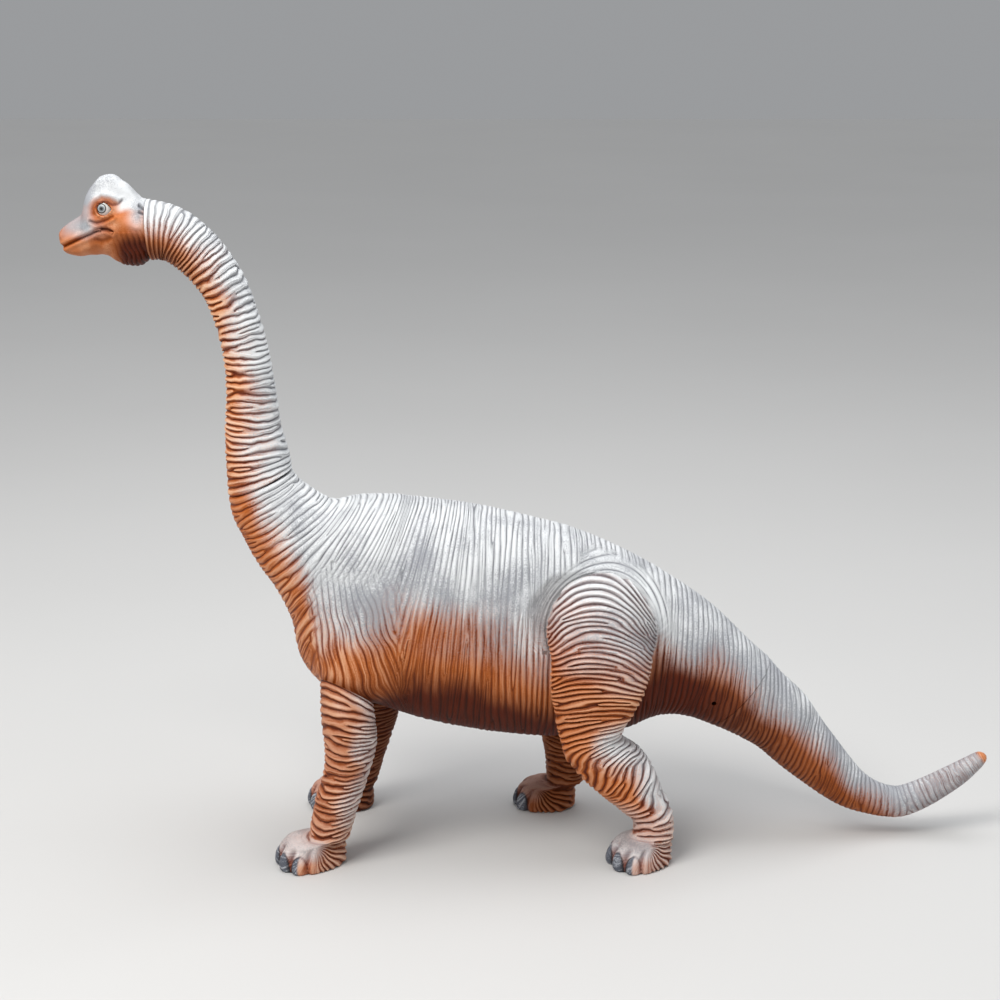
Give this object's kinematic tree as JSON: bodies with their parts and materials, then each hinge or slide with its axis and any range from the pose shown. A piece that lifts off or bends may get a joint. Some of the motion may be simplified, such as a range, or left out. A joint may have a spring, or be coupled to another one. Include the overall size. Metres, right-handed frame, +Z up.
{
  "type": "toy dinosaur figure",
  "caption": "Long-necked toy dinosaur standing on its legs, moulded as hollow vinyl shells whose head, neck, tail and legs turn in round collars.",
  "frame": {"origin": "on the floor under the middle of the figure's bounding box, with the soles on Z = 0", "axes": "+X from the head towards the tail, +Y to the animal's right, +Z up"},
  "size_m": [0.4034, 0.0932, 0.297],
  "materials": {
    "torso_vinyl": "satin painted soft vinyl",
    "neck_vinyl": "satin painted soft vinyl",
    "head_vinyl": "satin painted soft vinyl",
    "tail_vinyl": "satin painted soft vinyl",
    "leg_vinyl": "satin painted soft vinyl"
  },
  "bodies": {
    "torso": {"torso": "torso_vinyl"},
    "neck": {"neck": "neck_vinyl"},
    "head": {"head": "head_vinyl"},
    "tail": {"tail": "tail_vinyl"},
    "left_fore_leg": {"left_fore_leg": "leg_vinyl"},
    "right_fore_leg": {"right_fore_leg": "leg_vinyl"},
    "left_hind_leg": {"left_hind_leg": "leg_vinyl"},
    "right_hind_leg": {"right_hind_leg": "leg_vinyl"}
  },
  "joints": [
    {"name": "neck_turn", "type": "hinge", "parent": "torso", "child": "neck", "pos_m": [-0.1206, 0, 0.164], "axis": [-0.3971, 0, 0.9178], "range_deg": [-45, 45]},
    {"name": "head_turn", "type": "hinge", "parent": "neck", "child": "head", "pos_m": [-0.1638, 0, 0.2736], "axis": [-0.9987, 0, -0.0506], "range_deg": [-30, 30]},
    {"name": "tail_turn", "type": "hinge", "parent": "torso", "child": "tail", "pos_m": [0.0894, 0, 0.0689], "axis": [0.7431, 0, -0.6691], "range_deg": [-40, 40]},
    {"name": "left_fore_turn", "type": "hinge", "parent": "torso", "child": "left_fore_leg", "pos_m": [-0.0825, -0.029, 0.078], "axis": [0.4156, 0.4306, 0.8012], "range_deg": [-20, 20]},
    {"name": "right_fore_turn", "type": "hinge", "parent": "torso", "child": "right_fore_leg", "pos_m": [-0.074, 0.029, 0.078], "axis": [-0.4156, 0.4306, -0.8012], "range_deg": [-20, 20]},
    {"name": "left_hip_swing", "type": "hinge", "parent": "torso", "child": "left_hind_leg", "pos_m": [0.027, -0.0265, 0.106], "axis": [0, 0.9659, -0.2588], "range_deg": [-18, 15]},
    {"name": "right_hip_swing", "type": "hinge", "parent": "torso", "child": "right_hind_leg", "pos_m": [0.027, 0.0265, 0.106], "axis": [0, 0.9659, 0.2588], "range_deg": [-18, 12]}
  ]
}
